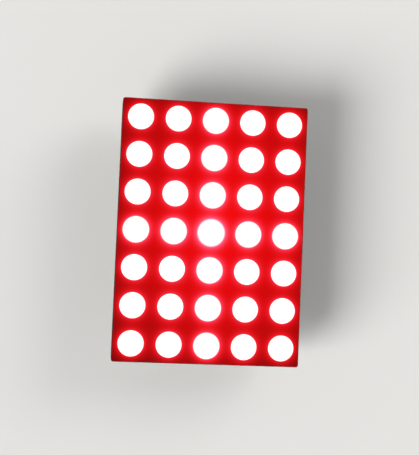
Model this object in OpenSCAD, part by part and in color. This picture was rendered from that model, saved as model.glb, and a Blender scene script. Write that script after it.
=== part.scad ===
// LED dot matrix display, 5 columns by 7 rows, two inch size, for through-hole mounting.
//
// One moulded housing carries a reflector cup for every dot. The cups stand on a circuit
// board that has a bare LED die in the middle of each cup. Milky resin fills the cups and
// makes the dots, and potting resin closes the back, with two rows of pins through it.
//
// Lengths are in millimetres. The origin is the centre of the pin field in the seating
// plane, +Z points out of the lit face, and +Y points to the first row of dots.

/* [Dots] */
// Distance between neighbouring dots, along the rows and along the columns
dot_pitch = 7.62; // [7.2:0.01:9]
// Diameter of a dot on the face
dot_d = 5; // [4.2:0.1:5.4]
// Diameter of the reflector cup at the circuit board
cup_floor_d = 3.2; // [2.8:0.1:3.5]
// Straight length of the cup below the face
cup_land = 0.4; // [0.2:0.1:1]
// Wall thickness of a reflector cup
cup_wall = 0.6; // [0.4:0.05:0.8]

/* [Housing] */
// Height of the face above the seating plane
body_h = 8.4; // [7.6:0.1:12]
// Gap left between two displays set edge to edge on the dot pitch
tile_gap = 0.1; // [0.04:0.02:0.4]
// Thickness of the face plate
face_t = 1.2; // [0.8:0.1:1.6]
// Thickness of the outer wall beside the circuit board
wall_t = 1; // [0.8:0.05:1.2]
// Width of the ledge inside the wall that the circuit board rests on
ledge_w = 0.5; // [0.3:0.05:0.6]
// Radius of the upright corners
corner_r = 0.5; // [0.2:0.1:0.9]
// Bevel round the edge of the face
face_bevel = 0.25; // [0.1:0.05:0.5]
// Thickness of the webs that tie the cups to each other and to the wall
web_t = 0.8; // [0.5:0.1:1.2]
// Height of the webs' lower edge above the circuit board
web_lift = 1; // [0.8:0.1:2]
// Diameter of the posts that locate the circuit board
post_d = 1.5; // [1.2:0.1:1.8]
// Diameter of the head that is melted over the end of each post
stake_d = 2.4; // [2:0.1:2.6]
// Thickness of that head
stake_t = 0.5; // [0.3:0.1:0.8]
// Height of the stand-off feet
foot_h = 0.6; // [0.3:0.1:0.9]
// Length of a foot along the wall
foot_l = 3; // [2:0.5:6]
// Distance from the end of the housing to the middle of a foot
foot_inset = 4.5; // [3.5:0.5:8]
// Side of the triangle that marks the first pin
mark_size = 1.8; // [1:0.1:2.4]
// Depth of that triangle in the wall
mark_depth = 0.2; // [0.1:0.05:0.4]
// Height of its lower tip above the rim of the housing
mark_lift = 0.6; // [0.3:0.1:2]

/* [Circuit board] */
// Distance from the face to the front of the circuit board
board_depth = 5; // [4:0.1:5.4]
// Thickness of the circuit board
board_t = 1; // [0.8:0.1:1.2]
// Gap between the edge of the circuit board and the wall
board_gap = 0.15; // [0.05:0.05:0.3]
// Thickness of the copper on each side
copper_t = 0.035; // [0.035:0.035:0.07]
// Width of a copper track
track_w = 0.4; // [0.3:0.05:0.5]
// Diameter of a via's pad
via_pad_d = 0.7; // [0.6:0.05:0.8]
// Diameter of a via's barrel
via_d = 0.3; // [0.2:0.05:0.4]
// Distance from the middle of a dot to its via, under the wall of the cup
via_offset = 1.9; // [1.7:0.05:2.1]
// Clearance between a post and its hole in the circuit board
post_clearance = 0.05; // [0.05:0.05:0.2]

/* [Light emitting dice] */
// Side of a die
die_w = 0.3; // [0.24:0.02:0.4]
// Height of a die
die_h = 0.25; // [0.15:0.05:0.3]
// Diameter of the copper pad under a die
die_pad_d = 1; // [0.8:0.1:1.1]
// Diameter of the spot of silver-filled adhesive under a die
attach_d = 0.5; // [0.46:0.02:0.7]
// Thickness of that adhesive
attach_t = 0.03; // [0.02:0.01:0.05]
// Diameter of the bond wire
wire_d = 0.03; // [0.026:0.002:0.05]
// Distance from the middle of a die to the far end of its bond wire
wire_span = 1; // [0.9:0.05:1.1]
// Diameter of the ball where the wire meets the die
ball_d = 0.09; // [0.08:0.01:0.12]
// Side of the copper pad at the far end of the bond wire
bond_pad_w = 0.5; // [0.4:0.05:0.6]

/* [Pins] */
// Distance between neighbouring pins in a row
pin_pitch = 2.54; // [2.4:0.01:2.54]
// Diameter of a pin's tail, which goes through the host board
pin_d = 0.51; // [0.4:0.01:0.6]
// Length of a pin below the seating plane
pin_l = 6; // [3:0.5:12]
// Diameter of a pin's shank, from the rim of the housing to its end in the display
shank_d = 0.85; // [0.82:0.01:0.95]
// Length of a pin in front of the circuit board
pin_stub = 0.5; // [0.4:0.05:0.7]
// Bevel at the tip of a pin
pin_bevel = 0.12; // [0.05:0.01:0.2]
// Diameter of the collar that seats a pin against the circuit board
collar_d = 1.4; // [1.2:0.05:1.6]
// Thickness of that collar
collar_t = 0.3; // [0.2:0.05:0.5]
// Diameter of the copper pad round a pin
pin_pad_d = 1.7; // [1.6:0.05:1.8]
// Radial gap between a pin's shank and its hole, which the solder fills
pin_gap = 0.12; // [0.1:0.01:0.15]
// Height of the solder cone in front of the circuit board
solder_h = 0.35; // [0.2:0.05:0.4]
// Foot diameter of the solder cone
solder_d = 1.5; // [1.4:0.05:1.6]

/* [Potting] */
// Depth of the potting's surface below the rim of the housing
potting_recess = 0.2; // [0.1:0.05:0.5]

/* [Hidden] */
$fn = 48;
columns = 5;
rows = 7;
pins_per_row = 7;
// Overrun that makes a cut pass clear through a face
cut = 0.2;

// Dot centres
col_x = [for (c = [0:columns - 1]) (c - (columns - 1) / 2) * dot_pitch];
row_y = [for (r = [0:rows - 1]) ((rows - 1) / 2 - r) * dot_pitch];

// Housing, board and potting outlines
body_w = columns * dot_pitch - tile_gap;
body_l = rows * dot_pitch - tile_gap;
recess_w = body_w - 2 * wall_t;
recess_l = body_l - 2 * wall_t;
board_w = recess_w - 2 * board_gap;
board_l = recess_l - 2 * board_gap;

// Heights above the seating plane
plate_z = body_h - face_t;
board_front_z = body_h - board_depth;
board_back_z = board_front_z - board_t;
front_copper_z = board_front_z + copper_t;
back_copper_z = board_back_z - copper_t;
potting_z = foot_h + potting_recess;
web_z = front_copper_z + web_lift;
die_top_z = front_copper_z + attach_t + die_h;

// The pins stand between the outer and the next column of dots.
pin_x = (columns - 2) * dot_pitch / 2;
pin_hole_d = shank_d + 2 * pin_gap;

// The posts stand between the dots of the end rows, either side of the middle column.
posts = [for (sx = [-1, 1], sy = [-1, 1]) [sx * dot_pitch / 2, sy * (rows - 2) * dot_pitch / 2]];

// A row's track runs below its dots, midway between two pins.
function row_track_y(r) = row_y[r] - pin_pitch / 2;

// Pins are numbered down the left and up the right, seen from the face.
function on_left(i) = i <= pins_per_row;
function place_in_row(i) = on_left(i) ? i : 2 * pins_per_row + 1 - i;
function pin_y(i) = ((pins_per_row + 1) / 2 - place_in_row(i)) * pin_pitch;
function pin_at(i) = [on_left(i) ? -pin_x : pin_x, pin_y(i)];

// Pins that reach a row's track beside them, as [pin, row]
row_stubs = [[1, 2], [4, 3], [7, 4], [8, 4], [11, 3]];
// Pins that reach a far row by a link on the back, as [pin, row, lane], counted outwards from the pins
row_links = [[2, 1, 1], [3, 0, 2], [9, 5, 1], [10, 6, 2]];
// Pins that reach the column beside them on the back, as [pin, column]
column_links = [[6, 0], [5, 1], [12, 3], [14, 4]];
// The pin that reaches the middle column, over the front
middle_pin = 13;
// Gap between two copper shapes of different nets
copper_gap = 0.25;
lane_pitch = max(track_w, via_pad_d) + copper_gap;
first_lane = pin_pad_d / 2 + copper_gap + via_pad_d / 2;

function lane_x(pin, lane) = sign(pin_at(pin).x) * (pin_x + first_lane + (lane - 1) * lane_pitch);
middle_track_y = pin_y(middle_pin) - pin_pitch / 2;

dot_vias = [for (x = col_x, y = row_y) [x, y + via_offset]];
link_vias = [for (k = row_links) [lane_x(k[0], k[2]), row_track_y(k[1])]];
vias = concat(dot_vias, link_vias, [[0, middle_track_y]]);

module at_dots() {
    for (x = col_x, y = row_y) translate([x, y, 0]) children();
}

module at_pins() {
    for (i = [1:2 * pins_per_row]) translate(pin_at(i)) children();
}

module at_posts() {
    for (p = posts) translate(p) children();
}

// A flat rectangle round the origin with round corners
module round_rect(w, l, r) {
    square([w - 2 * r, l], center = true);
    square([w, l - 2 * r], center = true);
    for (x = [-1, 1], y = [-1, 1]) translate([x * (w / 2 - r), y * (l / 2 - r)]) circle(r);
}

// A straight copper track between two points on one level or one upright line
module track(from, to) {
    w = abs(to.x - from.x) + track_w;
    l = abs(to.y - from.y) + track_w;
    translate((from + to) / 2) square([w, l], center = true);
}

// ---- Housing ------------------------------------------------------------------------

// Upright section of the housing's outside, with a bevel at each side of the face
module bevelled_section(w) {
    polygon([
        [-w / 2, foot_h],
        [w / 2, foot_h],
        [w / 2, body_h - face_bevel],
        [w / 2 - face_bevel, body_h],
        [face_bevel - w / 2, body_h],
        [-w / 2, body_h - face_bevel],
    ]);
}

// Outside of the housing, from the rim that the feet stand on up to the face
module outer_block() {
    intersection() {
        translate([0, 0, foot_h]) linear_extrude(body_h - foot_h) round_rect(body_w, body_l, corner_r);
        rotate([90, 0, 0]) linear_extrude(body_l + cut, center = true) bevelled_section(body_w);
        rotate([90, 0, 90]) linear_extrude(body_w + cut, center = true) bevelled_section(body_l);
    }
}

// Space behind the face plate, and the wider recess for the board and the potting
module inner_space() {
    front_w = recess_w - 2 * ledge_w;
    front_l = recess_l - 2 * ledge_w;
    translate([0, 0, front_copper_z - cut]) linear_extrude(plate_z - front_copper_z + cut)
        square([front_w, front_l], center = true);
    translate([0, 0, foot_h - cut]) linear_extrude(front_copper_z - foot_h + cut)
        square([recess_w, recess_l], center = true);
}

// Inside of one cup, from the board up to the face
module cup_inside(over = 0) {
    rotate_extrude() polygon([
        [0, front_copper_z - over],
        [cup_floor_d / 2, front_copper_z - over],
        [cup_floor_d / 2, front_copper_z],
        [dot_d / 2, body_h - cup_land],
        [dot_d / 2, body_h + over],
        [0, body_h + over],
    ]);
}

// Outside of one cup, from the board into the face plate
module cup_outside() {
    translate([0, 0, front_copper_z])
        cylinder(
            d1 = cup_floor_d + 2 * cup_wall,
            d2 = dot_d + 2 * cup_wall,
            h = plate_z + cut - front_copper_z
        );
}

// Webs along the rows and along the columns, from wall to wall
module webs() {
    across = body_w - wall_t;
    along = body_l - wall_t;
    h = plate_z + cut - web_z;
    for (y = row_y) translate([-across / 2, y - web_t / 2, web_z]) cube([across, web_t, h]);
    for (x = col_x) translate([x - web_t / 2, -along / 2, web_z]) cube([web_t, along, h]);
}

// Post through the board with its melted head behind
module post() {
    bottom_z = board_back_z - stake_t;
    translate([0, 0, bottom_z]) cylinder(d = post_d, h = plate_z + cut - bottom_z);
    translate([0, 0, bottom_z]) cylinder(d = stake_d, h = stake_t);
}

// Stand-off feet on the rim of the long walls
module feet() {
    for (x = [-1, 1], y = [-1, 1])
        translate([x * (body_w - wall_t) / 2, y * (body_l / 2 - foot_inset), (foot_h + cut) / 2])
            cube([wall_t, foot_l, foot_h + cut], center = true);
}

// Triangle cut in the left wall beside the first pin, pointing down at the host board
module first_pin_mark() {
    translate([-body_w / 2 - cut, pin_y(1), foot_h + mark_lift + mark_size / 2])
        rotate([0, 90, 0]) cylinder(d = mark_size, h = mark_depth + cut, $fn = 3);
}

module housing() {
    color("#1b1b1d") difference() {
        union() {
            difference() {
                outer_block();
                inner_space();
            }
            at_dots() cup_outside();
            webs();
            at_posts() post();
            feet();
        }
        at_dots() cup_inside(cut);
        first_pin_mark();
    }
}

// ---- Circuit board ------------------------------------------------------------------

module circuit_board() {
    color("#c9b458") translate([0, 0, board_back_z]) linear_extrude(board_t) difference() {
        square([board_w, board_l], center = true);
        at_pins() circle(d = pin_hole_d);
        at_posts() circle(d = post_d + 2 * post_clearance);
        for (v = vias) translate(v) circle(d = via_d);
    }
}

module pin_pads() {
    at_pins() circle(d = pin_pad_d);
}

module via_pads() {
    for (v = vias) translate(v) circle(d = via_pad_d);
}

// Row tracks, the dies' pads on them, the bond pads with their vias, and the pins' stubs
module copper_front() {
    color("#b87333") translate([0, 0, board_front_z]) linear_extrude(copper_t) difference() {
        union() {
            for (r = [0:rows - 1])
                track([col_x[0], row_track_y(r)], [col_x[columns - 1], row_track_y(r)]);
            at_dots() {
                circle(d = die_pad_d);
                track([0, -pin_pitch / 2], [0, 0]);
                translate([0, wire_span]) square(bond_pad_w, center = true);
                track([0, wire_span], [0, via_offset]);
            }
            for (k = row_stubs) track(pin_at(k[0]), [pin_at(k[0]).x, row_track_y(k[1])]);
            track(pin_at(middle_pin), [pin_x, middle_track_y]);
            track([pin_x, middle_track_y], [0, middle_track_y]);
            pin_pads();
            via_pads();
        }
        at_pins() circle(d = pin_hole_d);
    }
}

// Column tracks, the links from the pins, and the barrels of the vias
module copper_back() {
    color("#b87333") {
        translate([0, 0, back_copper_z]) linear_extrude(copper_t) difference() {
            union() {
                for (x = col_x) track([x, row_y[0] + via_offset], [x, row_y[rows - 1] + via_offset]);
                for (k = row_links) {
                    corner = [lane_x(k[0], k[2]), pin_y(k[0])];
                    track(pin_at(k[0]), corner);
                    track(corner, [corner.x, row_track_y(k[1])]);
                }
                for (k = column_links) track(pin_at(k[0]), [col_x[k[1]], pin_y(k[0])]);
                pin_pads();
                via_pads();
            }
            at_pins() circle(d = pin_hole_d);
        }
        for (v = vias) translate([v.x, v.y, board_back_z]) cylinder(d = via_d, h = board_t);
    }
}

// ---- Dice and their wires -----------------------------------------------------------

module attach_form() {
    translate([0, 0, front_copper_z]) cylinder(d = attach_d, h = attach_t);
}

module die_form() {
    translate([-die_w / 2, -die_w / 2, front_copper_z + attach_t]) cube([die_w, die_w, die_h]);
}

// A half-round loop up from the die and over to its pad, with a ball at the die
module wire_form() {
    ball_t = ball_d / 3;
    translate([0, 0, die_top_z]) cylinder(d = ball_d, h = ball_t);
    translate([0, wire_span / 2, die_top_z + ball_t]) rotate([90, 0, 90])
        rotate_extrude(angle = 180) translate([wire_span / 2, 0]) circle(d = wire_d, $fn = 16);
    translate([0, wire_span, front_copper_z])
        cylinder(d = wire_d, h = die_top_z + ball_t - front_copper_z, $fn = 16);
}

module die_attach() {
    color("#9a9a94") at_dots() attach_form();
}

module led_dice() {
    color("#e8a33a") at_dots() die_form();
}

module bond_wires() {
    color("#e2b84a") at_dots() wire_form();
}

// ---- Resin dots ---------------------------------------------------------------------

// Resin that fills one cup round its die and wire. It is flush with the face.
module dot(r, c) {
    color("#fff0ee") translate([col_x[c - 1], row_y[r - 1], 0]) difference() {
        cup_inside();
        attach_form();
        die_form();
        wire_form();
    }
}

// ---- Pins ---------------------------------------------------------------------------

// Turned pin: bevelled tip, tail, a step up to the shank, and the collar that meets the board's back
module pin_form() {
    tail_r = pin_d / 2;
    shank_r = shank_d / 2;
    step_z = foot_h + shank_r - tail_r;
    collar_z = back_copper_z - collar_t;
    top_z = front_copper_z + pin_stub;
    rotate_extrude() polygon([
        [0, -pin_l],
        [tail_r - pin_bevel, -pin_l],
        [tail_r, pin_bevel - pin_l],
        [tail_r, foot_h],
        [shank_r, step_z],
        [shank_r, collar_z],
        [collar_d / 2, collar_z],
        [collar_d / 2, back_copper_z],
        [shank_r, back_copper_z],
        [shank_r, top_z],
        [0, top_z],
    ]);
}

module pin(i) {
    color("#c9cacc") translate(pin_at(i)) pin_form();
}

// Solder in each pin's hole, with a cone round the pin in front of the board
module pin_solder() {
    color("#d6d7d9") at_pins() difference() {
        union() {
            translate([0, 0, back_copper_z])
                cylinder(d = pin_hole_d, h = front_copper_z - back_copper_z);
            translate([0, 0, front_copper_z]) cylinder(d1 = solder_d, d2 = pin_hole_d, h = solder_h);
        }
        translate([0, 0, back_copper_z - cut])
            cylinder(d = shank_d, h = front_copper_z - back_copper_z + solder_h + 2 * cut);
    }
}

// ---- Potting ------------------------------------------------------------------------

// Resin behind the board, cast round the pins and the posts' heads
module potting() {
    color("#d8d2bd") difference() {
        translate([0, 0, potting_z]) linear_extrude(back_copper_z - potting_z)
            square([recess_w, recess_l], center = true);
        at_posts() post();
        at_pins() pin_form();
    }
}

housing();
circuit_board();
copper_front();
copper_back();
led_dice();
die_attach();
bond_wires();
pin_solder();
potting();
for (r = [1:rows], c = [1:columns]) dot(r, c);
for (i = [1:2 * pins_per_row]) pin(i);
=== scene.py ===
import math

import bmesh
import bpy
from mathutils import Matrix, Vector


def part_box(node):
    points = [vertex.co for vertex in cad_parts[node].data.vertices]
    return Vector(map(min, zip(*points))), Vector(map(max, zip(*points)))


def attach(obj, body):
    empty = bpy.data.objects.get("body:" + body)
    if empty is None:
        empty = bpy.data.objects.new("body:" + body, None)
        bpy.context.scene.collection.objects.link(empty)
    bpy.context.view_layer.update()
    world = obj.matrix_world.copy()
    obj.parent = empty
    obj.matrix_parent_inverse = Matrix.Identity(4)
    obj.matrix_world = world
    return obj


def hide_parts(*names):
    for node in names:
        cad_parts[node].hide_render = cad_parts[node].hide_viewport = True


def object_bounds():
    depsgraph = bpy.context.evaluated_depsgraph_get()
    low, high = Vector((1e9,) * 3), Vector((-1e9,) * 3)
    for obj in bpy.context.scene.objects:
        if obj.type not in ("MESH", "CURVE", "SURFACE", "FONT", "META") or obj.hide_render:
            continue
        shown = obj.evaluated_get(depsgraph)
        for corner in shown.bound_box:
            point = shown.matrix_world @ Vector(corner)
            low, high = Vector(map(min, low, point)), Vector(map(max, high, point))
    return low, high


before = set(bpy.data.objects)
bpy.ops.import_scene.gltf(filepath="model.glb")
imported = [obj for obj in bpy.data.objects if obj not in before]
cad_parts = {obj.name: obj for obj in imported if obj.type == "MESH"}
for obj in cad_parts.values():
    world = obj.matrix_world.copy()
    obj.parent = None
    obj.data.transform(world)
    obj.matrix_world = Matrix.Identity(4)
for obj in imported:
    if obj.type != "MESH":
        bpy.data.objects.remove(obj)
cad_low, cad_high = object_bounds()

# ---- Housing ----------------------------------------------------------------------------
# One moulding in white glass-filled polycarbonate, white so that its cups reflect the light.
# Matt black ink covers the face and the outer walls and ends in a ragged line on the back
# rim. A glow of the dots is painted on the face as emission and dies away towards its edges.

mm = 0.001
housing_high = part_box("housing")[1]
columns, rows = 5, 7
first_dot_low, first_dot_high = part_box("dot_r1_c1")
last_dot_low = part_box(f"dot_r{rows}_c{columns}")[0]
dot_pitch = (last_dot_low.x - first_dot_low.x) / (columns - 1)
dot_radius = (first_dot_high.x - first_dot_low.x) / 2


def linear(hex_colour):
    """An sRGB colour such as #e4e2de as linear red, green, blue and alpha."""
    parts = [int(hex_colour[k:k + 2], 16) / 255 for k in (1, 3, 5)]
    return [p / 12.92 if p <= 0.04045 else ((p + 0.055) / 1.055) ** 2.4 for p in parts] + [1.0]


def add(tree, kind, *values, **settings):
    """Adds a shader node with its settings. The values go to its live inputs in turn, or by
    name where they come as one dict. A value that is a node stands for its live output."""
    node = tree.nodes.new("ShaderNode" + kind)
    for name, setting in settings.items():
        setattr(node, name, setting)
    live = [socket for socket in node.inputs if socket.enabled]
    if values and isinstance(values[0], dict):
        pairs = [(next(s for s in live if s.name == name), v) for name, v in values[0].items()]
    else:
        pairs = zip(live, values)
    for socket, value in pairs:
        if isinstance(value, bpy.types.Node):
            value = next(output for output in value.outputs if output.enabled)
        if isinstance(value, bpy.types.NodeSocket):
            tree.links.new(value, socket)
        else:
            socket.default_value = value
    return node


def start_material(name):
    """An empty material, its node tree, and the place of each point on the object in metres."""
    material = bpy.data.materials.new(name)
    material.use_nodes = True
    tree = material.node_tree
    tree.nodes.clear()
    return material, tree, add(tree, "TexCoord").outputs["Object"]


def dress(names, material):
    """Puts a material on CAD nodes."""
    for name in names:
        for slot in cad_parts[name].material_slots:
            slot.material = material


def four_nearest_dots(tree, place):
    """For each of the four dots round a place: how far the place lies beyond the dot's edge in
    metres, and the dot's dimming steps, which are 0 in the middle of the face, 1 elsewhere in
    the middle row and the middle column, and 2 for the rest."""
    last_x, last_y = (columns - 1) / 2, (rows - 1) / 2
    steps = add(tree, "VectorMath", place, (1 / dot_pitch, 1 / dot_pitch, 0), operation="MULTIPLY")
    whole = add(tree, "VectorMath", steps, operation="FLOOR")
    capped = add(tree, "VectorMath", whole, (last_x - 1, last_y - 1, 0), operation="MINIMUM")
    corner = add(tree, "VectorMath", capped, (-last_x, -last_y, 0), operation="MAXIMUM")
    dots = []
    for neighbour in ((0, 0, 0), (1, 0, 0), (0, 1, 0), (1, 1, 0)):
        dot = add(tree, "VectorMath", corner, neighbour)
        offset = add(tree, "VectorMath", steps, dot, operation="SUBTRACT")
        distance = add(tree, "VectorMath", offset, operation="LENGTH")
        beyond_edge = add(tree, "Math", distance, dot_pitch, -dot_radius, operation="MULTIPLY_ADD")
        from_middle = add(tree, "VectorMath", dot, operation="ABSOLUTE")
        off_middle = add(tree, "VectorMath", from_middle, (1, 1, 0), operation="MINIMUM")
        dimming_steps = add(tree, "VectorMath", off_middle, (1, 1, 0), operation="DOT_PRODUCT")
        dots.append((beyond_edge, dimming_steps))
    return dots


def halos(tree, dots, reach, dimming):
    """Light of the dots, dying away from their edges. Each dimming step leaves the share of it
    that dimming gives."""
    light = 0.0
    for beyond_edge, dimming_steps in dots:
        ratio = add(tree, "Math", beyond_edge, -reach, operation="DIVIDE")
        ray = add(tree, "Math", ratio, operation="EXPONENT")
        brightness = add(tree, "Math", dimming, dimming_steps, operation="POWER")
        light = add(tree, "Math", ray, brightness, light, operation="MULTIPLY_ADD")
    return light


def painted_white_glare(tree, dots, width, dimming):
    """Painted white glare round the dots: 1 at each dot's edge and 0 from that width on. Each
    dimming step narrows the rim as it dims the halo."""
    glare_rims = 0.0
    for beyond_edge, dimming_steps in dots:
        brightness = add(tree, "Math", dimming, dimming_steps, operation="POWER")
        rim_width = add(tree, "Math", brightness, width, operation="MULTIPLY")
        rim = add(tree, "MapRange", beyond_edge, 0, rim_width, 1, 0, interpolation_type="SMOOTHSTEP")
        glare_rims = add(tree, "Math", glare_rims, rim, operation="MAXIMUM")
    return glare_rims


def fading_outwards(tree, place):
    """1 in the middle of the face, about a third at the middle of each side, less in a corner."""
    half_face_to_one = (2 / (columns * dot_pitch), 2 / (rows * dot_pitch), 0)
    relative = add(tree, "VectorMath", place, half_face_to_one, operation="MULTIPLY")
    squared = add(tree, "VectorMath", relative, relative, operation="DOT_PRODUCT")
    exponent = add(tree, "Math", squared, -1.0, operation="MULTIPLY")
    return add(tree, "Math", exponent, operation="EXPONENT")


def wash(tree, place):
    """Light over the whole face, strongest a little right of and above the middle. About half
    of it is lost towards each edge."""
    strength, edge_reach, edge_loss = 1.31, 18.2 * mm, 0.62
    brightest_place = (1.9 * mm, 1.9 * mm, 0)
    from_brightest = add(tree, "VectorMath", place, brightest_place, operation="SUBTRACT")
    axes = add(tree, "SeparateXYZ", from_brightest)
    for axis, edge in (("X", housing_high.x), ("Y", housing_high.y)):
        distance = add(tree, "Math", axes.outputs[axis], operation="ABSOLUTE")
        past_edge = add(tree, "Math", distance, edge, operation="SUBTRACT")
        ratio = add(tree, "Math", past_edge, edge_reach, operation="DIVIDE")
        near_edge = add(tree, "Math", ratio, operation="EXPONENT")
        kept = add(tree, "Math", near_edge, -edge_loss, 1.0, operation="MULTIPLY_ADD")
        strength = add(tree, "Math", strength, kept, operation="MULTIPLY")
    return strength


def spilled_light(tree, place):
    """Colour of the glow painted on the face: white glare at each dot's edge, then pink, which is
    red with some cool light in it, then deep red over a red wash. The middle row and the middle
    column run brighter, and spill further."""
    red_colour, red_strength, red_reach, red_dimming = linear("#ff0000")[:3], 2.6, 0.8 * mm, 0.64
    cool_colour, cool_reach, cool_dimming = linear("#0098d2")[:3], 0.44 * mm, 0.42
    rim_width = 0.48 * mm
    dots = four_nearest_dots(tree, place)
    red_halos = halos(tree, dots, red_reach, red_dimming)
    red_level = add(tree, "Math", red_halos, red_strength, operation="MULTIPLY")
    red = add(tree, "VectorMath", red_colour, red_level, operation="SCALE")
    cool_halos = halos(tree, dots, cool_reach, cool_dimming)
    cool_level = add(tree, "Math", cool_halos, fading_outwards(tree, place), operation="MULTIPLY")
    cool = add(tree, "VectorMath", cool_colour, cool_level, operation="SCALE")
    halo = add(tree, "VectorMath", red, cool)
    red_wash = add(tree, "VectorMath", red_colour, wash(tree, place), operation="SCALE")
    glow = add(tree, "Mix", 1.0, red_wash, halo, data_type="RGBA", blend_type="SCREEN")
    # Painted white glare at the dots' edges, laid over the painted glow.
    glare_rims = painted_white_glare(tree, dots, rim_width, red_dimming)
    return add(tree, "Mix", glare_rims, glow, linear("#ffffff"), data_type="RGBA")


def inked_walls(tree, place):
    """1 on the outer walls. On the back rim the ink ends in a ragged line 0.3 mm in from them."""
    band, raggedness, blur = 0.21 * mm, 0.12 * mm, 0.07 * mm
    axes = add(tree, "SeparateXYZ", place)
    sides = []
    for axis, edge in (("X", housing_high.x), ("Y", housing_high.y)):
        from_middle = add(tree, "Math", axes.outputs[axis], operation="ABSOLUTE")
        sides.append(add(tree, "Math", from_middle, edge, operation="SUBTRACT"))
    outwards = add(tree, "Math", *sides, operation="MAXIMUM")
    ragged = add(tree, "TexNoise", {"Vector": place, "Scale": 1 / (0.5 * mm), "Detail": 3.0})
    wavy = add(tree, "Math", ragged, raggedness, outwards, operation="MULTIPLY_ADD")
    return add(tree, "MapRange", wavy, -band - blur, -band, 0, 1, interpolation_type="SMOOTHSTEP")


def inked_polycarbonate():
    """Screen ink over a moulding from a spark-eroded tool: so dull that next to no light glances
    off it, and faintly grained. The real grain is 0.05 mm. It is drawn at 0.3 mm, because a
    finer one wouldn't show. The painted glow dies away over the bevel, within the edge depth."""
    material, tree, place = start_material("inked_polycarbonate")
    grain = add(tree, "TexNoise", {"Vector": place, "Scale": 1 / (0.3 * mm), "Detail": 3.0})
    cloud = add(tree, "TexNoise", {"Vector": place, "Scale": 1 / (6 * mm), "Detail": 4.0})
    contrast = add(tree, "MapRange", grain, 0.35, 0.65, 0, 1)
    height = add(tree, "SeparateXYZ", place).outputs["Z"]
    top, edge_depth = housing_high.z, 0.3 * mm
    face = add(tree, "MapRange", height, top - 2 * edge_depth, top - edge_depth, 0, 1)
    inked = add(tree, "Math", inked_walls(tree, place), face, operation="MAXIMUM")
    face_ink = add(tree, "Mix", contrast, linear("#050506"), linear("#08080a"), data_type="RGBA")
    # The walls are a lighter black than the face: painted sheen, in place of the gloss that the low
    # specular level takes off them.
    wall_ink_with_painted_sheen = add(tree, "Mix", contrast, linear("#1b1b1d"), linear("#242427"), data_type="RGBA")
    ink = add(tree, "Mix", face, wall_ink_with_painted_sheen, face_ink, data_type="RGBA")
    plastic = add(tree, "Mix", cloud, linear("#dcdad2"), linear("#e8e6df"), data_type="RGBA")
    lit = add(tree, "MapRange", height, top - edge_depth, top - 0.05 * mm, 0, 1,
              interpolation_type="SMOOTHSTEP")
    patchy = add(tree, "MapRange", grain, 0.3, 0.7, 0.98, 1.06)
    shader = add(tree, "BsdfPrincipled", {
        "Base Color": add(tree, "Mix", inked, plastic, ink, data_type="RGBA"),
        "Roughness": add(tree, "MapRange", cloud, 0, 1, 0.4, 0.55),
        "Specular IOR Level": 0.02,
        "IOR": 1.58,
        "Normal": add(tree, "Bump", {"Height": grain, "Strength": 0.6, "Distance": 0.05 * mm}),
        # Emission on the face: the painted glow of the dots, kept to the face.
        "Emission Color": spilled_light(tree, place),
        "Emission Strength": add(tree, "Math", lit, patchy, operation="MULTIPLY"),
    })
    add(tree, "OutputMaterial", {"Surface": shader})
    return material


dress(["housing"], inked_polycarbonate())

# ---- Resin dots -------------------------------------------------------------------------
# Milky epoxy cast in the cups and cured flush with the face. Its fine white filler spreads
# the light of the die under it, so that each dot glows evenly from edge to edge.


def lit_epoxy():
    """Cast milky epoxy, lit from inside: smooth, and far brighter than what falls on it."""
    material, tree, place = start_material("lit_milky_epoxy")
    cloud = add(tree, "TexNoise", {"Vector": place, "Scale": 1 / (1.5 * mm), "Detail": 3.0})
    half_cell = (dot_pitch / 2, dot_pitch / 2, 1)
    from_dot = add(tree, "VectorMath", place, half_cell, [-side for side in half_cell],
                   operation="WRAP")
    flat = add(tree, "VectorMath", from_dot, (1, 1, 0), operation="MULTIPLY")
    from_middle = add(tree, "VectorMath", flat, operation="LENGTH")
    middle_strength, edge_strength = 2.4, 1.9
    shader = add(tree, "BsdfPrincipled", {
        "Base Color": add(tree, "Mix", cloud, linear("#efe6e0"), linear("#f7f1ec"), data_type="RGBA"),
        "Roughness": add(tree, "MapRange", cloud, 0, 1, 0.22, 0.34),
        "IOR": 1.54,
        "Emission Color": linear("#ffcece"),
        "Emission Strength": add(tree, "MapRange", from_middle, 0, dot_radius, middle_strength,
                                 edge_strength, interpolation_type="SMOOTHSTEP"),
    })
    add(tree, "OutputMaterial", {"Surface": shader})
    return material


dress([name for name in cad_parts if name.startswith("dot_r")], lit_epoxy())

# ---- Circuit board ----------------------------------------------------------------------
# Glass-epoxy laminate, 1 mm thick, under green solder resist. The weave of the glass cloth
# shows through the resist as a faint square pattern.

board_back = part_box("circuit_board")[0].z


def resist_on_laminate():
    """Green lacquer on woven laminate: satin, and a little lighter over each crossing of the
    threads. The real threads are 0.4 mm apart and are drawn at 0.55 mm, so that they show. A
    wave texture of scale 1 has its bands tau / 20 apart."""
    material, tree, place = start_material("solder_resist_on_laminate")
    thread_spacing = 0.55 * mm
    scale = math.tau / 20 / thread_spacing
    warp = add(tree, "TexWave", {"Vector": place, "Scale": scale}, bands_direction="X")
    weft = add(tree, "TexWave", {"Vector": place, "Scale": scale}, bands_direction="Y")
    weave = add(tree, "Math", warp.outputs["Fac"], weft.outputs["Fac"], operation="MULTIPLY")
    shader = add(tree, "BsdfPrincipled", {
        "Base Color": add(tree, "Mix", weave, linear("#23652f"), linear("#2f7a3c"), data_type="RGBA"),
        "Roughness": add(tree, "MapRange", weave, 0, 1, 0.4, 0.3),
        "IOR": 1.5,
        "Normal": add(tree, "Bump", {"Height": weave, "Strength": 0.2, "Distance": 0.02 * mm}),
    })
    add(tree, "OutputMaterial", {"Surface": shader})
    return material


dress(["circuit_board"], resist_on_laminate())

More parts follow.
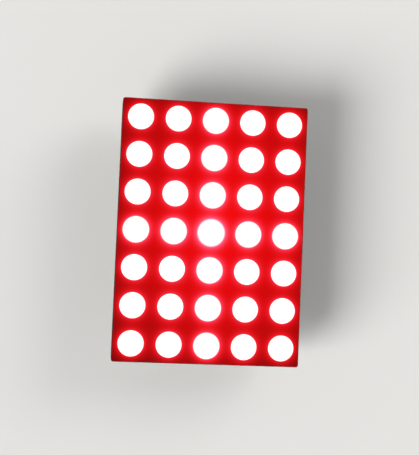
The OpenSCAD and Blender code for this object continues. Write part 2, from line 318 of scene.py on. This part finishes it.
# ---- Copper -----------------------------------------------------------------------------
# Foil etched to tracks and pads on both sides of the board. The tracks lie under the resist
# and look lighter than the laminate. The pads round the pins are left open and tinned.

pin_count = 14
pins = [f"pin_{k}" for k in range(1, pin_count + 1)]
pins_in_row = pin_count // 2


def middle(node):
    """The middle of a CAD node's box."""
    low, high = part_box(node)
    return (low + high) / 2


pin_x = middle(pins[-1]).x
pin_ys = [middle(pin).y for pin in pins[:pins_in_row]]
pin_pitch = pin_ys[0] - pin_ys[1]


def etched_copper():
    """Foil under green lacquer, and bright uneven tin round the pins."""
    material, tree, place = start_material("etched_copper")
    axes = add(tree, "SeparateXYZ", place)
    across = add(tree, "Math", axes.outputs["X"], operation="ABSOLUTE")
    from_row = add(tree, "Math", across, pin_x, operation="SUBTRACT")
    steps = add(tree, "Math", axes.outputs["Y"], pin_pitch, operation="DIVIDE")
    whole = add(tree, "Math", steps, operation="ROUND")
    last_step = (pins_in_row - 1) / 2
    nearest = add(tree, "Clamp", whole, -last_step, last_step)
    from_pin = add(tree, "Math", nearest, -pin_pitch, axes.outputs["Y"], operation="MULTIPLY_ADD")
    offset = add(tree, "CombineXYZ", from_row, from_pin)
    distance = add(tree, "VectorMath", offset, operation="LENGTH")
    opening, opening_edge = 0.86 * mm, 0.04 * mm
    lacquered = add(tree, "MapRange", distance, opening, opening + opening_edge, 0, 1)
    open_tin = add(tree, "Math", 1.0, lacquered, operation="SUBTRACT")
    cloud = add(tree, "TexNoise", {"Vector": place, "Scale": 1 / (0.8 * mm), "Detail": 5.0})
    track = add(tree, "Mix", cloud, linear("#559a45"), linear("#66ab50"), data_type="RGBA")
    tin = add(tree, "Mix", cloud, linear("#b9b9b4"), linear("#d2d2cf"), data_type="RGBA")
    shader = add(tree, "BsdfPrincipled", {
        "Base Color": add(tree, "Mix", open_tin, track, tin, data_type="RGBA"),
        "Metallic": open_tin,
        "Roughness": add(tree, "MapRange", cloud, 0, 1, 0.28, 0.42),
        "Normal": add(tree, "Bump", {"Height": cloud, "Strength": 0.15, "Distance": 0.02 * mm}),
    })
    add(tree, "OutputMaterial", {"Surface": shader})
    return material


dress(["copper_front", "copper_back"], etched_copper())

# ---- Dice, their adhesive and their wires -----------------------------------------------
# Inside each cup a die of gallium phosphide sits in a spot of silver-filled epoxy, and a gold
# wire bonded to its top runs to a pad beside it. The resin hides all three.


def silver_epoxy():
    """Silver flakes in resin: grey, matt and grainy."""
    material, tree, place = start_material("silver_filled_epoxy")
    flakes = add(tree, "TexVoronoi", {"Vector": place, "Scale": 1 / (0.02 * mm)})
    shader = add(tree, "BsdfPrincipled", {
        "Base Color": add(tree, "Mix", flakes, linear("#c4c4bf"), linear("#7d7d79"), data_type="RGBA"),
        "Metallic": 0.6,
        "Roughness": 0.5,
        "Normal": add(tree, "Bump", {"Height": flakes, "Strength": 0.5, "Distance": 0.005 * mm}),
    })
    add(tree, "OutputMaterial", {"Surface": shader})
    return material


def gallium_phosphide():
    """Sawn and etched crystal, lit: amber, and frosted in patches."""
    material, tree, place = start_material("gallium_phosphide")
    frost = add(tree, "TexNoise", {"Vector": place, "Scale": 1 / (0.05 * mm), "Detail": 4.0})
    shader = add(tree, "BsdfPrincipled", {
        "Base Color": add(tree, "Mix", frost, linear("#b5541c"), linear("#d98a35"), data_type="RGBA"),
        "Roughness": add(tree, "MapRange", frost, 0, 1, 0.15, 0.4),
        "IOR": 3.3,
        "Emission Color": linear("#ff613f"),
        "Emission Strength": 3.0,
    })
    add(tree, "OutputMaterial", {"Surface": shader})
    return material


def drawn_gold():
    """Drawn wire: bright, with faint marks from the drawing die."""
    material, tree, place = start_material("drawn_gold")
    marks = add(tree, "TexNoise", {"Vector": place, "Scale": 1 / (0.01 * mm), "Detail": 2.0})
    shader = add(tree, "BsdfPrincipled", {
        "Base Color": add(tree, "Mix", marks, linear("#e2b155"), linear("#f3cd7c"), data_type="RGBA"),
        "Metallic": 1.0,
        "Roughness": add(tree, "MapRange", marks, 0, 1, 0.18, 0.28),
    })
    add(tree, "OutputMaterial", {"Surface": shader})
    return material


dress(["die_attach"], silver_epoxy())
dress(["led_dice"], gallium_phosphide())
dress(["bond_wires"], drawn_gold())

# ---- Pins and their solder --------------------------------------------------------------
# Pins turned from brass rod, plated with tin, pushed through the board up to their collars
# and soldered on its front. Fine turning lines run round them.


def tinned_brass():
    """Tin over turned brass: soft grey metal, streaked along the turning lines. The real lines
    are 0.02 mm apart and are drawn at 0.06 mm, so that they show."""
    material, tree, place = start_material("tin_plated_brass")
    round_the_pin = add(tree, "Mapping", {"Vector": place, "Scale": (0.05, 0.05, 1.0)})
    lines = add(tree, "TexNoise", {"Vector": round_the_pin, "Scale": 1 / (0.06 * mm), "Detail": 3.0})
    cloud = add(tree, "TexNoise", {"Vector": place, "Scale": 1 / (0.7 * mm), "Detail": 4.0})
    shader = add(tree, "BsdfPrincipled", {
        "Base Color": add(tree, "Mix", cloud, linear("#b4b3ad"), linear("#d6d5d0"), data_type="RGBA"),
        "Metallic": 1.0,
        "Roughness": add(tree, "MapRange", cloud, 0, 1, 0.24, 0.4),
        "Normal": add(tree, "Bump", {"Height": lines, "Strength": 0.4, "Distance": 0.01 * mm}),
    })
    add(tree, "OutputMaterial", {"Surface": shader})
    return material


def reflowed_solder():
    """Solder that froze smooth: bright, with soft ripples."""
    material, tree, place = start_material("reflowed_solder")
    ripple = add(tree, "TexNoise", {"Vector": place, "Scale": 1 / (0.5 * mm), "Detail": 3.0})
    shader = add(tree, "BsdfPrincipled", {
        "Base Color": add(tree, "Mix", ripple, linear("#bcbdbd"), linear("#dcdddd"), data_type="RGBA"),
        "Metallic": 1.0,
        "Roughness": add(tree, "MapRange", ripple, 0, 1, 0.18, 0.3),
        "Normal": add(tree, "Bump", {"Height": ripple, "Strength": 0.3, "Distance": 0.03 * mm}),
    })
    add(tree, "OutputMaterial", {"Surface": shader})
    return material


dress(pins, tinned_brass())
dress(["pin_solder"], reflowed_solder())

# ---- Potting ----------------------------------------------------------------------------
# Clear epoxy poured in behind the board. It wets what it meets, so its surface climbs the
# walls of the housing and the shanks of the pins before it cures.

potting_low, potting_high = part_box("potting")
shank_radius = 0.425 * mm
climb = 0.15 * mm
climb_reach = 0.35 * mm
fine_zone = 1.4 * mm
bite = 0.02 * mm


def clear_epoxy():
    """Cast epoxy: faintly yellow, glossy and slightly wavy, with a few bubbles. The board, its
    tracks and the collars of the pins show through it."""
    material, tree, place = start_material("clear_cast_epoxy")
    swirl = add(tree, "TexNoise", {"Vector": place, "Scale": 1 / (7 * mm), "Detail": 3.0,
                                   "Distortion": 1.0})
    wave = add(tree, "TexNoise", {"Vector": place, "Scale": 1 / (5 * mm), "Detail": 1.0})
    bubbles = add(tree, "TexVoronoi", {"Vector": place, "Scale": 1 / (2.6 * mm)})
    pits = add(tree, "MapRange", bubbles, 0, 0.09, -0.3, 0, interpolation_type="SMOOTHSTEP")
    height = add(tree, "Math", wave, pits)
    shader = add(tree, "BsdfPrincipled", {
        "Base Color": add(tree, "Mix", swirl, linear("#f6ebcb"), linear("#fcf6e2"), data_type="RGBA"),
        "Roughness": 0.06,
        "IOR": 1.54,
        "Transmission Weight": 0.94,
        "Normal": add(tree, "Bump", {"Height": height, "Strength": 0.5, "Distance": 0.15 * mm}),
    })
    add(tree, "OutputMaterial", {"Surface": shader})
    return material


def potting_mesh():
    """A slab whose open surface rises at the walls and at the pins. It bites a little into the
    walls and the board, as what it is stuck to leaves no air between."""
    shape = bmesh.new()
    half_x, half_y = potting_high.x + bite, potting_high.y + bite
    cells = 120
    bmesh.ops.create_grid(shape, x_segments=cells, y_segments=round(cells * half_y / half_x), size=1.0)
    bmesh.ops.scale(shape, vec=(half_x, half_y, 1), verts=shape.verts)
    bmesh.ops.translate(shape, vec=(0, 0, potting_low.z), verts=shape.verts)

    def from_pins(vert):
        """How far a vertex is from the axis of the nearest pin."""
        return min(math.hypot(abs(vert.co.x) - pin_x, vert.co.y - y) for y in pin_ys)

    near_pins = [edge for edge in shape.edges if min(map(from_pins, edge.verts)) < fine_zone]
    bmesh.ops.subdivide_edges(shape, edges=near_pins, cuts=3, use_grid_fill=True)
    for vert in shape.verts:
        from_wall = min(half_x - abs(vert.co.x), half_y - abs(vert.co.y)) - bite
        gaps = (from_wall, from_pins(vert) - shank_radius)
        vert.co.z -= climb * min(sum(math.exp(-max(gap, 0) / climb_reach) for gap in gaps), 1)
    rim = [edge for edge in shape.edges if edge.is_boundary]
    walls = bmesh.ops.extrude_edge_only(shape, edges=rim)["geom"]
    for vert in (part for part in walls if isinstance(part, bmesh.types.BMVert)):
        vert.co.z = board_back + bite
    # The extruded walls come in an order that changes from run to run, so all edges and faces
    # are put in the order of their vertices.
    shape.verts.index_update()
    for parts in (shape.edges, shape.faces):
        in_order = sorted(parts, key=lambda part: sorted(vert.index for vert in part.verts))
        for index, part in enumerate(in_order):
            part.index = index
        parts.sort()
    bmesh.ops.contextual_create(shape, geom=[edge for edge in shape.edges if edge.is_boundary])
    bmesh.ops.recalc_face_normals(shape, faces=shape.faces)
    for face in shape.faces:
        face.smooth = abs(face.normal.z) > 0.5
    mesh = bpy.data.meshes.new("potting_surface")
    shape.to_mesh(mesh)
    shape.free()
    return mesh


potting = bpy.data.objects.new("potting_surface", potting_mesh())
bpy.context.scene.collection.objects.link(potting)
potting.data.materials.append(clear_epoxy())
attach(potting, "root")
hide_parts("potting")

# ---- Table, lamps and room --------------------------------------------------------------
# A plain pale table top that the pins stand on, a large soft lamp to one side, a weaker one
# across from it, and a plain room that is paler near the horizon than overhead.


def pale_table():
    """Painted board: matt, and very slightly uneven."""
    material, tree, place = start_material("pale_table")
    cloud = add(tree, "TexNoise", {"Vector": place, "Scale": 1 / (80 * mm), "Detail": 2.0})
    shader = add(tree, "BsdfPrincipled", {
        "Base Color": add(tree, "Mix", cloud, linear("#e4e2de"), linear("#e9e7e4"), data_type="RGBA"),
        "Roughness": 0.7,
    })
    add(tree, "OutputMaterial", {"Surface": shader})
    return material


table_half_width = 3.0
shape = bmesh.new()
bmesh.ops.create_grid(shape, x_segments=1, y_segments=1, size=table_half_width)
bmesh.ops.translate(shape, vec=(0, 0, cad_low.z), verts=shape.verts)
table = bpy.data.objects.new("table", bpy.data.meshes.new("table"))
shape.to_mesh(table.data)
shape.free()
table.data.materials.append(pale_table())
bpy.context.scene.collection.objects.link(table)

lamps = (("key_lamp", (-1.37, -0.9, 1.15), 2.95), ("fill_lamp", (1.42, 1.0, 1.0), 1.0))
softness = math.radians(34)
for name, place, brightness in lamps:
    lamp = bpy.data.objects.new(name, bpy.data.lights.new(name, "SUN"))
    lamp.data.angle = softness
    lamp.data.energy = brightness
    lamp.location = place
    lamp.rotation_euler = (-Vector(place)).to_track_quat("-Z", "Y").to_euler()
    bpy.context.scene.collection.objects.link(lamp)

world = bpy.data.worlds.new("room")
world.use_nodes = True
room = world.node_tree
room.nodes.clear()
direction = add(room, "SeparateXYZ", add(room, "TexCoord").outputs["Generated"])
horizon_level, overhead_level = 0.85, 0.08
level = add(room, "MapRange", direction.outputs["Z"], 0, 1, horizon_level, overhead_level)
add(room, "OutputWorld", {"Surface": add(room, "Background", linear("#f3f4f6"), level)})
bpy.context.scene.world = world
bpy.context.scene.view_settings.view_transform = "Standard"

# ---- Camera -----------------------------------------------------------------------------
# It looks down on the face from a little left of and below its middle, and is held not quite
# straight.

eye = Vector((-21.5 * mm, -7.3 * mm, 199.8 * mm))
aim = Vector((-0.38 * mm, 1.06 * mm, housing_high.z))
tilted_up = Vector((-0.0432, 1, 0))
forward = (aim - eye).normalized()
rightward = forward.cross(tilted_up).normalized()
camera = bpy.data.objects.new("camera", bpy.data.cameras.new("camera"))
camera.data.lens = 75.2
camera.location = eye
camera.rotation_euler = Matrix((rightward, rightward.cross(forward), -forward)).transposed().to_euler()
bpy.context.scene.collection.objects.link(camera)
bpy.context.scene.camera = camera
